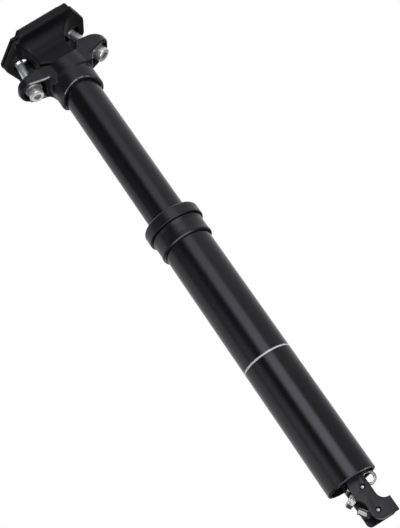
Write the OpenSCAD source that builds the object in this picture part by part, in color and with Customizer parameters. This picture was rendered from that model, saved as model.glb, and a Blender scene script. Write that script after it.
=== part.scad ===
// Dropper seatpost, millimetres, +Z along the post towards the saddle
// Z = 0 is the lower end of the outer tube, -X is the front, +X the rear

/* [Outer post] */
// Outer diameter of the fixed tube, the size that fits the frame
tube_diameter = 30.9; // [28:0.1:34]
// Wall of the fixed tube
tube_wall = 1.5; // [1.4:0.1:2]
// How far the saddle drops
travel = 100; // [70:5:125]
// Tube below the collar beyond the travel, it holds the guides and the foot
reserve_length = 71.2; // [70:0.2:100]
// Height of the lower collar ring
collar_height = 12.9; // [10:0.1:18]
// Height of the screw cap above the ring
cap_height = 9.4; // [7:0.1:13]

/* [Stanchion and head] */
// Radial space between stanchion and tube bore, filled by the guides
guide_space = 1.45; // [1.3:0.05:1.8]
// Wall of the stanchion
stanchion_wall = 1.4; // [1.2:0.1:1.7]
// Height of the head's reference point above its lower edge
head_rise = 24.5; // [23:0.5:32]
// Forward lean of the saddle clamp against the post
head_tilt = 8.5; // [0:0.5:17]
// Half width of the wings
wing_half_width = 9.2; // [8.6:0.1:11]

/* [Saddle clamp] */
// Diameter of a saddle rail
rail_diameter = 7; // [6.5:0.1:7.4]
// Distance between the two rails
rail_spacing = 44; // [42:0.5:48]
// Length of the top jaw along the rails
jaw_length = 38; // [34:1:42]
// Splay of each clamp bolt
bolt_splay = 12.4; // [8:0.2:14]
// Diameter of the clamp bolts
bolt_diameter = 6; // [5:0.5:6]

/* [Release mechanism] */
// Overall width of the bracket over both cheeks
bracket_width = 13; // [12.4:0.2:15]
// Thickness of one cheek
cheek_thickness = 2.2; // [1.6:0.1:2.4]
// Diameter of the ferrule nose of the cable housing, held in the barrel
housing_diameter = 3.2; // [3:0.1:3.6]
// Diameter of the two cross pins
pin_diameter = 2.1; // [1.8:0.1:2.8]

/* [Hidden] */
$fn = 64;
fit = 0.02;
run = 0.05;
past = 60;
tube_r = tube_diameter / 2;
bore_r = tube_r - tube_wall;
stanchion_r = bore_r - guide_space;
stanchion_in = stanchion_r - stanchion_wall;
collar_z = travel + reserve_length;
tube_top = collar_z + 8;
cap_z = collar_z + collar_height;
cap_top = cap_z + cap_height;
collar_r = tube_r + 1.75;
cap_r = tube_r + 3.15;
bush_top = tube_top - 1;
bush_z = collar_z - 19.2;
bumper_top = bush_z - 0.5;
stanchion_z = collar_z - 53.2;
skirt_z = cap_top + travel + 7;
head_z = skirt_z + head_rise;
socket_depth = 21.5;
stanchion_top = skirt_z + socket_depth;
neck_r = stanchion_r + 2.9;
skirt_arch = 3.6;
seat_r = tube_r - 0.3;
guide_height = 10;
bumper_height = 5;

key_r = 1.35;
key_place = stanchion_r + 0.6;
key_z = stanchion_z + 14;
key_length = guide_height;
key_count = 3;

plug_z = 5;
plug_top = 13;
base_z = 2.5;
nut_z = 0.9;
rod_r = 4.5;
rod_in = 1.5;
rod_foot_r = 2.6;
push_r = 1.2;
cyl_r = stanchion_in - 0.3;
cyl_in = cyl_r - 1.3;
cyl_z = stanchion_z + 2;
cyl_cap_z = stanchion_top - 22;
cyl_top = cyl_cap_z + 6;
gland_z = cyl_z + 1.5;
gland_top = gland_z + 11;
piston_z = gland_top + 3;
piston_top = piston_z + 8.5;
float_z = cyl_cap_z - travel * rod_r * rod_r / (cyl_in * cyl_in) - 14;
float_height = 9;
seal_half = 0.8;
groove = 2 * seal_half + 0.4;
groove_deep = 2 * seal_half + 0.1;
ring_gap = 4;

axis_w = 25.3;
keel_r = axis_w - 0.5;
cradle_r = keel_r + 0.1;
keel_half = 9.5;
keel_front = 15;
keel_front_r = keel_r - 1.4;
cradle_half = keel_half + 3.1;
front_shoulder = 7.4;
rear_shoulder = 9.6;
bolt_r = bolt_diameter / 2;
bolt_u = 20;
bolt_w = axis_w + 0.7;
head_face_w = -6.3;
bolt_head_r = bolt_r + 2;
bolt_head_h = bolt_diameter;
slope = tan(bolt_splay);
nut_u = (bolt_u + (bolt_w - axis_w) * slope) / (1 + slope * slope);
nut_w = axis_w + nut_u * slope;
nut_r = 4;
nut_half = 6;
nut_flat = 0.8;
wing_bolt_u = bolt_u + (bolt_w - 1) * slope;
ceiling_w = 2.4;
plate_low = axis_w - 3.4;
rail_w = plate_low + 2 + rail_diameter / 2;
plate_top = rail_w - 0.1;
jaw_shift = 2.3;
dish_w = plate_low + 2;
jaw_low = dish_w + 0.4;
jaw_top = nut_w + 2;
rail_y = rail_spacing / 2;
rail_r = rail_diameter / 2 + 0.05;
clamp_half = rail_y + rail_r + 0.95;
dish_half = rail_y - rail_r - 2.2;
dish_u = nut_u + nut_r + 1.6;
dish_wall = 1.7;

cheek_out = bracket_width / 2;
cheek_in = cheek_out - cheek_thickness;
column_left = -5;
column_right = 5.7;
foot_right = 11.5;
foot_low = -26.1;
foot_top = -17.2;
pin_r = pin_diameter / 2;
lever_x = 1.65;
lever_z = -5.7;
nose_x = 2.2;
nose_z = 2.4;
nose_r = 1;
pad_low = lever_z + nose_z + nose_r + 0.15;
lower_pin_z = -20.5;
barrel_x = -4.8;
barrel_z = -16.7;
barrel_lean = 36;
barrel_low = -4.2;
barrel_r = housing_diameter / 2 + 0.45;
block_half = 3.4;

// Tube between two heights
module sleeve(outer, inner, low, high) {
    translate([0, 0, low]) difference() {
        cylinder(r = outer, h = high - low);
        translate([0, 0, -1]) cylinder(r = inner, h = high - low + 2);
    }
}

// Ring of round section
module cord_ring(place, section, height) {
    translate([0, 0, height]) rotate_extrude() translate([place, 0]) circle(r = section, $fn = 24);
}

// Flat profile drawn in X and Z, given a width across the post
module across(width) {
    rotate([90, 0, 0]) linear_extrude(height = width, center = true) children();
}

// Flat profile drawn in Y and Z, given a length along X
module along(length) {
    rotate([90, 0, 90]) linear_extrude(height = length, center = true) children();
}

// The head and the clamp are drawn level, then leaned forward together
module leaned() {
    translate([0, 0, head_z]) rotate([0, -head_tilt, 0]) children();
}

// Frame of one bolt, Z runs up the shank from the face of its head
module on_bolt(side) {
    translate([side * (bolt_u + (bolt_w - head_face_w) * slope), 0, head_face_w])
        rotate([0, -side * bolt_splay, 0]) children();
}

// Places of the guide keys round the stanchion
module key_row(radius, low, high) {
    for (i = [0 : key_count - 1])
        rotate([0, 0, 90 + i * 360 / key_count]) translate([key_place, 0, low])
            cylinder(r = radius, h = high - low, $fn = 32);
}

module outer_tube() {
    color("#1c1c1f") difference() {
        rotate_extrude() polygon([[bore_r, 0], [tube_r - 0.4, 0], [tube_r, 0.4], [tube_r, collar_z],
            [seat_r, collar_z], [seat_r, tube_top], [bore_r, tube_top]]);
        key_row(key_r + 0.1, plug_top + 2, bush_z - 1);
        sleeve(bore_r + 0.5, bore_r - 1, 3.6, plug_z);
    }
}

module collar_ring() {
    waist = collar_r - 0.35;
    inner = stanchion_r + 1.2;
    seat = seat_r + fit;
    color("#19191b") rotate_extrude() polygon([[seat, collar_z + fit], [collar_r - 0.7, collar_z + fit],
        [collar_r, collar_z + 0.9], [waist, collar_z + 4], [waist, cap_z - 3], [collar_r, cap_z - 0.6],
        [collar_r - 0.4, cap_z], [inner, cap_z], [inner, tube_top + fit], [seat, tube_top + fit]]);
}

module seal_cap() {
    edge = 1.8;
    crown = 1.1;
    color("#161618") rotate_extrude() difference() {
        union() {
            polygon([[stanchion_r + 0.9, cap_z + 0.1], [cap_r - 0.5, cap_z + 0.1], [cap_r, cap_z + 0.7],
                [cap_r, cap_top - edge - crown], [cap_r - edge + 0.4, cap_top - crown - 0.05],
                [stanchion_r + 0.9, cap_top]]);
            translate([cap_r - edge, cap_top - edge - crown]) circle(r = edge);
        }
        translate([0, cap_z + 2]) square([stanchion_r + 2.4, cap_height - 4.4]);
        square([stanchion_r + 0.9, cap_top + 9]);
    }
}

module wiper_seal() {
    low = cap_z + 2.1;
    high = cap_top - 2.5;
    lip = cap_top + 0.9;
    color("#0e0e0f") rotate_extrude() polygon([[stanchion_r + run, low], [stanchion_r + 2.3, low],
        [stanchion_r + 2.3, high], [stanchion_r + 0.85, high], [stanchion_r + 0.7, lip - 0.2],
        [stanchion_r + run, lip]]);
}

module upper_bush() {
    color("#c9b27a") sleeve(bore_r - fit, stanchion_r + run, bush_z, bush_top);
}

module bottom_plug() {
    color("#8e9095") difference() {
        sleeve(bore_r - fit, rod_r + fit, plug_z, plug_top);
        sleeve(bore_r + 1, bore_r - groove_deep, plug_z + 4 - groove / 2, plug_z + 4 + groove / 2);
    }
}

module plug_seal() {
    color("#101011") cord_ring(bore_r - seal_half - 0.05, seal_half, plug_z + 4);
}

module plug_ring() {
    color("#9a9ca0") difference() {
        sleeve(bore_r + 0.4, bore_r - 1.3, 3.8, plug_z - 0.1);
        translate([-ring_gap / 2, 0, 0]) cube([ring_gap, tube_r, plug_z]);
    }
}

module piston_rod() {
    color("#b9bcc2") difference() {
        union() {
            translate([0, 0, plug_z]) cylinder(r = rod_r, h = piston_z + 4 - plug_z);
            translate([0, 0, nut_z - 0.2]) cylinder(r = rod_foot_r, h = plug_z);
        }
        cylinder(r = rod_in, h = piston_z + 9);
    }
}

module piston() {
    color("#a9abb0") difference() {
        sleeve(cyl_in - run, rod_in, piston_z, piston_top);
        translate([0, 0, piston_z - 1]) cylinder(r = rod_r + fit, h = 5 + fit);
        sleeve(cyl_in + 1, cyl_in - groove_deep, piston_z + 6 - groove / 2, piston_z + 6 + groove / 2);
    }
}

module piston_seal() {
    color("#101011") cord_ring(cyl_in - seal_half - 0.05, seal_half, piston_z + 6);
}

module rod_nut() {
    color("#b4b6ba") difference() {
        translate([0, 0, nut_z]) cylinder(r = 3.7, h = base_z - nut_z - fit, $fn = 6);
        cylinder(r = rod_foot_r + fit, h = plug_z);
    }
}

// Side view of one cheek, a column with a boot-shaped foot whose heel is set in
module cheek_outline(heel, inset, low) {
    notch = 5;
    left = column_left + inset;
    translate([column_left, barrel_z + 1]) square([column_right - column_left, plug_z - barrel_z - 1]);
    translate([left, low + heel]) square([column_right - left, plug_z - low - heel]);
    translate([left + heel, low + heel]) circle(r = heel);
    translate([left + heel, low]) square([foot_right - left - heel, foot_top - low]);
    difference() {
        translate([column_right - 1, foot_top - 1]) square([notch + 1, notch + 1]);
        translate([column_right + notch, foot_top + notch]) circle(r = notch);
    }
}

module actuator_bracket() {
    color("#202023") difference() {
        union() {
            translate([0, cheek_thickness / 2 - cheek_out, 0]) across(cheek_thickness) difference() {
                cheek_outline(5.8, 1.9, foot_low);
                translate([column_left - 3.6, barrel_z + 0.8]) circle(r = 6);
            }
            translate([0, cheek_out - cheek_thickness / 2, 0]) across(cheek_thickness)
                cheek_outline(3, 0, foot_low + 0.9);
            translate([column_left, -cheek_in - 1, base_z])
                cube([column_right - column_left, 2 * cheek_in + 2, plug_z - base_z]);
            translate([column_right + 1.5, -cheek_in - 1, foot_low + 0.9])
                cube([foot_right - column_right - 1.5, 2 * cheek_in + 2, foot_top - foot_low - 0.9]);
        }
        cylinder(r = rod_foot_r + fit, h = plug_z + 1);
        for (height = [lever_z, lower_pin_z]) {
            translate([lever_x, 0, height]) rotate([90, 0, 0])
                cylinder(r = pin_r + fit, h = bracket_width + 2, center = true);
            for (side = [-1, 1])
                translate([lever_x, side * cheek_out, height]) rotate([90, 0, 0])
                    cylinder(r = pin_r + 0.5, h = 1.4, center = true);
        }
    }
}

module cross_pin(height) {
    translate([lever_x, 0, height]) rotate([90, 0, 0])
        cylinder(r = pin_r, h = bracket_width, center = true);
}

module lever_pin() {
    color("#cfd1d5") cross_pin(lever_z);
}

module barrel_pin() {
    color("#cfd1d5") cross_pin(lower_pin_z);
}

// Frame of the cable barrel, Z runs up its axis
module on_barrel() {
    translate([barrel_x, 0, barrel_z]) rotate([0, -barrel_lean, 0]) children();
}

module barrel_carrier() {
    ear = 1.7;
    ring = 1.8;
    low = barrel_low + ring / 2;
    ring_x = barrel_x - low * sin(barrel_lean);
    ring_z = barrel_z + low * cos(barrel_lean);
    color("#2a2a2d") difference() {
        union() {
            on_barrel() translate([0, 0, barrel_low]) cylinder(r = barrel_r + 0.6, h = ring);
            for (side = [-1, 1]) translate([0, side * (barrel_r + 0.1 + ear / 2), 0]) across(ear) {
                translate([lever_x, lower_pin_z]) circle(r = pin_r + 0.9);
                translate([ring_x, ring_z]) circle(r = 1.3, $fn = 32);
                polygon([[ring_x - 0.4, ring_z - 1.1], [ring_x + 0.4, ring_z + 1.1],
                    [lever_x + 0.4, lower_pin_z + 1.8], [lever_x - 0.4, lower_pin_z - 1.8]]);
            }
        }
        on_barrel() translate([0, 0, barrel_low - 1]) cylinder(r = barrel_r + fit, h = 12);
        translate([lever_x, 0, lower_pin_z]) rotate([90, 0, 0])
            cylinder(r = pin_r + fit, h = bracket_width, center = true);
    }
}

module cable_barrel() {
    top = 2.8;
    seat = top - barrel_low - 2;
    color("#d6d7d9") on_barrel() difference() {
        translate([0, 0, barrel_low]) cylinder(r = barrel_r, h = top - barrel_low);
        translate([0, 0, barrel_low - 1]) cylinder(r = housing_diameter / 2, h = seat + 1);
        translate([0, 0, barrel_low - 1]) cylinder(r = 0.8, h = 12, $fn = 24);
        sleeve(barrel_r + 1, barrel_r - 0.25, top - 1.5, top - 0.9);
    }
}

module stanchion() {
    color("#1a1a1d") difference() {
        sleeve(stanchion_r, stanchion_in, stanchion_z, stanchion_top - fit);
        key_row(key_r + fit, key_z, key_z + key_length);
        sleeve(stanchion_in + 0.6, stanchion_in - 1, stanchion_z + 0.6, stanchion_z + 1.9);
    }
}

// Side view of one half of the head, without the cradle
module half_outline(shoulder, ease) {
    tip = 3.2;
    tip_w = 2.4;
    tip_u = wing_bolt_u + 1 + wing_half_width - tip;
    root_w = 4.2;
    polygon([[-2, -11], [15, -10.5], [16, -6.8], [19, -3.9], [wing_bolt_u + 2.5, -1.4], [tip_u, tip_w - tip],
        [tip_u, tip_w + tip], [wing_bolt_u, shoulder - 1.2], [cradle_half + ease, shoulder],
        [cradle_half - 0.5, root_w], [-2, root_w]]);
    translate([tip_u, tip_w]) circle(r = tip);
}

module wing_outline() {
    half_outline(rear_shoulder, 3);
    mirror([1, 0]) half_outline(front_shoulder, 6);
}

// Plan of the head, a round middle that runs into two round-ended wings
module wing_plan() {
    end = wing_bolt_u + 1;
    half = wing_half_width;
    join_u = neck_r * 0.62;
    join_y = neck_r * 0.77;
    root = neck_r + 3;
    circle(r = neck_r);
    for (side = [-1, 1]) translate([side * end, 0]) circle(r = half);
    polygon([[end, half], [root, half], [join_u, join_y], [-join_u, join_y], [-root, half], [-end, half],
        [-end, -half], [-root, -half], [-join_u, -join_y], [join_u, -join_y], [root, -half], [end, -half]]);
}

module seat_head() {
    wall = 2.3;
    arch_r = (neck_r * neck_r + skirt_arch * skirt_arch) / (2 * skirt_arch);
    color("#1e1e20") difference() {
        union() {
            translate([0, 0, skirt_z]) rotate_extrude()
                polygon([[0, 0], [neck_r - 0.6, 0], [neck_r, 0.8], [neck_r, 12], [neck_r - 1, 19], [0, 19]]);
            leaned() intersection() {
                across(3 * neck_r) wing_outline();
                translate([0, 0, -20]) linear_extrude(height = 60) wing_plan();
            }
        }
        translate([0, 0, skirt_z - 1]) cylinder(r = stanchion_r + fit, h = socket_depth + 1);
        translate([0, 0, skirt_z + skirt_arch - arch_r]) rotate([90, 0, 0])
            cylinder(r = arch_r, h = 4 * neck_r, center = true, $fn = 128);
        leaned() {
            intersection() {
                translate([0, 0, axis_w]) rotate([90, 0, 0])
                    cylinder(r = cradle_r, h = 4 * neck_r, center = true, $fn = 128);
                cube([2 * cradle_half, 8 * neck_r, 60], center = true);
            }
            for (side = [-1, 1]) {
                translate([side * (wing_bolt_u + 1), 0, -20])
                    cylinder(r = wing_half_width - wall, h = 20 + ceiling_w);
                translate([side * (wing_bolt_u - 3), 0, (ceiling_w - 20) / 2])
                    cube([8, 2 * (wing_half_width - wall), 20 + ceiling_w], center = true);
                on_bolt(side) cylinder(r = bolt_r + 0.3, h = past, $fn = 48);
            }
        }
    }
}

module lower_bush() {
    color("#c9b27a") sleeve(bore_r - run, stanchion_r + fit, stanchion_z, stanchion_z + guide_height);
}

module guide_keys() {
    color("#c8a24a") key_row(key_r, key_z + fit, key_z + key_length - fit);
}

module top_bumper() {
    color("#111112") sleeve(bore_r - 0.35, stanchion_r + fit, bumper_top - bumper_height, bumper_top);
}

module gas_cylinder() {
    color("#8a8c91") sleeve(cyl_r, cyl_in, cyl_z, cyl_top);
}

module cylinder_cap() {
    color("#97999e") translate([0, 0, cyl_cap_z]) cylinder(r = cyl_in - fit, h = cyl_top - cyl_cap_z);
}

module rod_gland() {
    middle = (gland_z + gland_top) / 2;
    color("#a3a5aa") difference() {
        sleeve(cyl_in - fit, rod_r + run, gland_z, gland_top);
        sleeve(rod_r + groove_deep + 0.1, rod_r - 1, middle - groove / 2, middle + groove / 2);
    }
}

module rod_seal() {
    color("#101011") cord_ring(rod_r + seal_half + 0.1, seal_half, (gland_z + gland_top) / 2);
}

module cylinder_ring() {
    color("#9a9ca0") difference() {
        sleeve(stanchion_in + 0.5, stanchion_in - 2.2, stanchion_z + 0.7, stanchion_z + 1.8);
        translate([-ring_gap / 2, 0, stanchion_z]) cube([ring_gap, tube_r, ring_gap]);
    }
}

module floating_piston() {
    middle = float_z + float_height / 2;
    color("#a9abb0") difference() {
        translate([0, 0, float_z]) cylinder(r = cyl_in - run, h = float_height);
        sleeve(cyl_in + 1, cyl_in - groove_deep, middle - groove / 2, middle + groove / 2);
        translate([0, 0, float_z + float_height / 3])
            cylinder(r = cyl_in - 2 * groove_deep, h = float_height);
    }
}

module floating_seal() {
    color("#101011") cord_ring(cyl_in - seal_half - 0.05, seal_half, float_z + float_height / 2);
}

module clamp_bolts() {
    reach = (nut_w + nut_flat + 1 - head_face_w) / cos(bolt_splay);
    color("#c4c7cb") leaned() for (side = [-1, 1]) on_bolt(side) difference() {
        union() {
            cylinder(r = bolt_r, h = reach);
            translate([0, 0, 0.6]) cylinder(r = bolt_head_r, h = bolt_head_h - 0.6);
            cylinder(r1 = bolt_head_r - 0.6, r2 = bolt_head_r, h = 0.6);
        }
        translate([0, 0, -1]) cylinder(r = bolt_r * 0.96, h = 1 + bolt_head_h * 0.55, $fn = 6);
    }
}

module bolt_washers() {
    color("#7d7f84") leaned() for (side = [-1, 1]) difference() {
        on_bolt(side) translate([0, 0, bolt_head_h + fit]) cylinder(r = bolt_head_r + 1, h = 6);
        on_bolt(side) cylinder(r = bolt_r + 0.2, h = past, $fn = 48);
        translate([side * wing_bolt_u - 15, -15, ceiling_w - fit]) cube([30, 30, 12]);
    }
}

// Plan of the lower clamp, six-sided with a blunt rear end
module clamp_plan() {
    front = bolt_u + 10.6;
    rear = bolt_u + 12.4;
    low = jaw_shift - jaw_length / 2;
    high = jaw_shift + jaw_length / 2;
    polygon([[rear, -7], [rear, 7], [high, clamp_half], [low, clamp_half], [-front, 1.5], [-front, -1.5],
        [low, -clamp_half], [high, -clamp_half]]);
}

// The same plan with its sloping ends moved in, the room inside the plate's walls
module inset_plan(inset) {
    intersection() {
        translate([inset, 0]) clamp_plan();
        translate([-inset, 0]) clamp_plan();
    }
}

module rails_cut() {
    for (side = [-1, 1]) translate([0, side * rail_y, rail_w]) rotate([0, 90, 0])
        cylinder(r = rail_r, h = 120, center = true);
}

// Right half of the keel's profile under the plate, a column that flares into the plate
module half_flared(half, flare) {
    step = 0.15;
    translate([-1, 0]) square([half + 1, plate_low + 0.5]);
    difference() {
        translate([half - 0.5, plate_low - flare]) square([flare + 0.5, flare + 0.5]);
        translate([half + flare, plate_low - flare - step]) circle(r = flare);
    }
}

module flared(half, flare) {
    half_flared(half, flare);
    mirror([1, 0]) half_flared(half, flare);
}

// Section of the plate with its two long lower edges rounded
module plate_section(edge) {
    side = clamp_half - edge;
    translate([-side, plate_low]) square([2 * side, plate_top - plate_low]);
    translate([-clamp_half, plate_low + edge]) square([2 * clamp_half, plate_top - plate_low - edge]);
    for (end = [-side, side]) translate([end, plate_low + edge]) circle(r = edge);
}

// Round-ended slot for a bolt, from one place to the other along the clamp
module bolt_slot(low, high) {
    half = bolt_r + 0.6;
    linear_extrude(height = past) {
        translate([low + half, -half]) square([high - low - 2 * half, 2 * half]);
        for (end = [low + half, high - half]) translate([end, 0]) circle(r = half);
    }
}

module lower_clamp() {
    color("#1f1f22") leaned() difference() {
        union() {
            intersection() {
                translate([0, 0, plate_low]) linear_extrude(height = plate_top - plate_low) clamp_plan();
                along(100) plate_section(3.6);
            }
            intersection() {
                across(2 * clamp_half) {
                    intersection() {
                        flared(keel_half, 13);
                        translate([0, axis_w]) circle(r = keel_r, $fn = 128);
                    }
                    intersection() {
                        mirror([1, 0]) half_flared(keel_front, 6.4);
                        translate([0, axis_w]) circle(r = keel_front_r, $fn = 128);
                    }
                }
                along(80) flared(11.5, 10);
            }
        }
        rails_cut();
        intersection() {
            translate([-dish_u, -dish_half, dish_w]) cube([2 * dish_u, 2 * dish_half, 20]);
            translate([0, 0, dish_w]) linear_extrude(height = 20) inset_plan(dish_wall);
        }
        bolt_slot(-bolt_u - 5, -bolt_u + 6.4);
        bolt_slot(bolt_u - 8.5, bolt_u + 7.5);
    }
}

// Thin end of the upper clamp, it follows the plan of the lower clamp
module clamp_nose(side, low, height, half) {
    reach = bolt_u + 20;
    intersection() {
        translate([0, 0, low]) linear_extrude(height = height) clamp_plan();
        translate([side * reach / 2, 0, low]) cube([reach, 2 * half, 20], center = true);
    }
}

module upper_clamp() {
    half = nut_half + 1.5;
    lip = rail_y - 1.4;
    step = plate_top + 0.4;
    inner = dish_half - 0.4;
    shoulder = rail_w + rail_r + 0.3;
    block = nut_u + nut_r + 0.8;
    low = jaw_shift - jaw_length / 2;
    high = jaw_shift + jaw_length / 2;
    seat = nut_r + 0.08;
    nut_space = nut_half + 0.15;
    window = 13;
    color("#1f1f22") leaned() difference() {
        union() {
            intersection() {
                along(100) polygon([[-lip, step], [-inner, step], [-inner, jaw_low], [inner, jaw_low],
                    [inner, step], [lip, step], [lip, shoulder], [inner, jaw_top - 0.6], [half, jaw_top],
                    [-half, jaw_top], [-inner, jaw_top - 0.6], [-lip, shoulder]]);
                across(4 * rail_y) polygon([[low - 3, jaw_low - 1], [high + 1.5, jaw_low - 1],
                    [high + 1.5, step + 0.3], [high - 5.5, jaw_top + 1], [low + 4.5, jaw_top + 1],
                    [low - 3, step + 0.3]]);
            }
            translate([-block, -half, jaw_low]) cube([2 * block, 2 * half, nut_w - jaw_low]);
            clamp_nose(-1, step, 1.7, lip);
            clamp_nose(1, step, 0.6, lip);
        }
        rails_cut();
        for (side = [0, 1]) mirror([side, 0, 0]) translate([nut_u, 0, 0]) {
            translate([0, 0, nut_w]) rotate([90, 0, 0]) cylinder(r = seat, h = 2 * nut_space, center = true);
            translate([-nut_r - 0.5, -nut_space, nut_w]) cube([2 * nut_r + 1, 2 * nut_space, 20]);
            translate([-4.8, -bolt_r - 0.6, 0]) cube([12, 2 * bolt_r + 1.2, 60]);
        }
        translate([1.6 - nut_u, -window, 0]) cube([7.3, 2 * window, 60]);
    }
}

// Half-round nut that rolls in the upper clamp as the saddle is tilted
module barrel_nut(side) {
    leaned() difference() {
        translate([side * nut_u, 0, nut_w]) rotate([90, 0, 0])
            cylinder(r = nut_r, h = 2 * nut_half, center = true);
        translate([side * nut_u - 9, -9, nut_w + nut_flat]) cube([18, 18, 9]);
        on_bolt(side) cylinder(r = bolt_r + 0.4, h = past, $fn = 48);
    }
}

module front_nut() {
    color("#b9bbc0") barrel_nut(-1);
}

module rear_nut() {
    color("#b9bbc0") barrel_nut(1);
}

module release_lever() {
    eye_r = 4.2;
    eye_x = bore_r - eye_r - 0.15;
    eye_z = -2.4;
    color("#cdd0d3") difference() {
        union() {
            across(3) {
                translate([lever_x, lever_z]) circle(r = 3);
                translate([lever_x + nose_x, lever_z + nose_z]) circle(r = nose_r, $fn = 32);
                polygon([[lever_x - 0.5, lever_z + 2.8], [-3.4, -4.5], [-3.4, -10],
                    [lever_x - 0.5, lever_z - 2.9]]);
                polygon([[lever_x, lever_z + 2.7], [lever_x + nose_x + 0.8, lever_z + nose_z + 0.3],
                    [5.2, lever_z + 1.7], [eye_x - 2, -4.7], [eye_x - 2, -6.1],
                    [lever_x + 0.3, lever_z - 2.9]]);
            }
            across(3) polygon([[-3.2, -4.4], [-5.6, -3.4], [-4.4, -2.2], [-2.2, -4.3], [-2.2, -5]]);
            across(7) translate([-4.9, -2.9]) circle(r = 1.1, $fn = 32);
            across(1.8) translate([eye_x, eye_z]) circle(r = eye_r);
            translate([lever_x, 0, lever_z]) rotate([90, 0, 0])
                cylinder(r = pin_r + 1.2, h = 2 * cheek_in - 0.2, center = true);
        }
        translate([eye_x, 0, eye_z]) rotate([90, 0, 0]) cylinder(r = eye_r - 1.4, h = 9, center = true);
        translate([lever_x, 0, lever_z]) rotate([90, 0, 0]) cylinder(r = pin_r + run, h = 20, center = true);
    }
}

module cable_anchor() {
    screw_x = -6.7;
    screw_z = -8;
    color("#dadbdd") difference() {
        across(2 * block_half) polygon([[-3.4 - fit, -4.5], [-9.4, -7.7], [-9.9, -8.9],
            [-8.6, -11.4], [-3.4 - fit, -10]]);
        translate([screw_x, 0, screw_z]) rotate([0, -10, 0])
            cylinder(r = 0.8, h = 20, center = true, $fn = 24);
        translate([screw_x, 0.5, screw_z]) rotate([90, 0, 0]) cylinder(r = 1.5, h = 9, $fn = 32);
        translate([-8.7, -block_half + 1, -9.6]) rotate([90, 0, 0]) cylinder(r = 0.5, h = 3, $fn = 24);
    }
}

module anchor_screw() {
    color("#84868b") translate([-6.7, -0.9, -8]) rotate([90, 0, 0]) difference() {
        cylinder(r = 1.5 - fit, h = block_half - 1.1, $fn = 32);
        translate([0, 0, block_half - 2.3]) cylinder(r = 0.85, h = 3, $fn = 6);
    }
}

module release_pin() {
    color("#c0c3c7") {
        translate([0, 0, pad_low + 1]) cylinder(r = push_r, h = piston_top + 0.2 - pad_low - 1);
        translate([-3.4, -2, pad_low]) cube([7.4, 4, 1.5]);
    }
}

module valve_poppet() {
    color("#c8a24a") translate([0, 0, piston_top + 0.2 + fit]) cylinder(r1 = push_r + 0.6, r2 = 3, h = 2.4);
}

outer_tube();
collar_ring();
seal_cap();
wiper_seal();
upper_bush();
bottom_plug();
plug_seal();
plug_ring();
piston_rod();
piston();
piston_seal();
rod_nut();
actuator_bracket();
lever_pin();
barrel_pin();
barrel_carrier();
cable_barrel();
stanchion();
seat_head();
lower_bush();
guide_keys();
top_bumper();
gas_cylinder();
cylinder_cap();
rod_gland();
rod_seal();
cylinder_ring();
floating_piston();
floating_seal();
clamp_bolts();
bolt_washers();
lower_clamp();
upper_clamp();
front_nut();
rear_nut();
release_lever();
cable_anchor();
anchor_screw();
release_pin();
valve_poppet();
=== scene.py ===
import math
import bpy
from mathutils import Matrix, Vector


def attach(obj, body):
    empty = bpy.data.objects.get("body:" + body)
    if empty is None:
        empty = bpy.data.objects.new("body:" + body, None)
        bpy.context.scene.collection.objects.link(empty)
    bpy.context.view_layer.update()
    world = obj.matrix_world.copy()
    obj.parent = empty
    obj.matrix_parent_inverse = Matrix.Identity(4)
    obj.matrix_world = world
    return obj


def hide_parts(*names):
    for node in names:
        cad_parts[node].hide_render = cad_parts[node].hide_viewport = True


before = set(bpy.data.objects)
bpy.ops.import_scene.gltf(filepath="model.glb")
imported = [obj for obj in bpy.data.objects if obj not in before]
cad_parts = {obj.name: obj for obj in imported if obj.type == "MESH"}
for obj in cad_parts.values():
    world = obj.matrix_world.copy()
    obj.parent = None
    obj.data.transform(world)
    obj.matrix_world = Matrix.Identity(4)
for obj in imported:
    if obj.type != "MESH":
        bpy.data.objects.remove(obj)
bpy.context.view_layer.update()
scene = bpy.context.scene
scene.view_settings.view_transform = "Standard"
mm = 0.001
poleR = 0.01  # a closed end starts from a tiny ring, because a ring can't grow from nothing
headLean = {"turn": 8.5, "height": 325}  # clamp, bolts and wing lips lean about this height
print("frame loaded")


# modelling helpers

def pickOnly(obj):
    if bpy.context.object and bpy.context.object.mode != "OBJECT":
        bpy.ops.object.mode_set(mode="OBJECT")
    bpy.ops.object.select_all(action="DESELECT")
    if obj:
        obj.select_set(True)
        bpy.context.view_layer.objects.active = obj


def editing(obj):
    pickOnly(obj)
    bpy.ops.object.mode_set(mode="EDIT")
    bpy.ops.mesh.select_mode(type="VERT")
    bpy.ops.mesh.select_all(action="SELECT")


def pickFaces(obj, wanted):
    # faces are chosen by their middle
    bpy.ops.object.mode_set(mode="OBJECT")
    for vertex in obj.data.vertices:
        vertex.select = False
    for edge in obj.data.edges:
        edge.select = False
    for face in obj.data.polygons:
        face.select = wanted(face.center)
    bpy.ops.object.mode_set(mode="EDIT")
    bpy.ops.mesh.select_mode(type="FACE")


def applied(obj, kind, **settings):
    pickOnly(obj)
    modifier = obj.modifiers.new(kind.title(), kind)
    for name, value in settings.items():
        setattr(modifier, name, value)
    bpy.ops.object.modifier_apply(modifier=modifier.name)


def rounded(obj, width, segments, angle=32):
    applied(obj, "BEVEL", width=width * mm, segments=segments, limit_method="ANGLE",
            angle_limit=math.radians(angle), harden_normals=False, use_clamp_overlap=True)


def smoothed(obj, angle=32):
    pickOnly(obj)
    bpy.ops.object.shade_smooth_by_angle(angle=math.radians(angle))


def guarded(rings, beside=0.3, longWall=3):
    # rings close to each end of a long wall keep its shading straight
    full = []
    for (oldR, oldZ), (newR, newZ) in zip(rings, rings[1:] + rings[:1]):
        full.append((oldR, oldZ))
        length = math.hypot(newR - oldR, newZ - oldZ)
        if length > longWall:
            for share in (beside / length, 1 - beside / length):
                full.append((oldR + (newR - oldR) * share, oldZ + (newZ - oldZ) * share))
    return full


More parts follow.
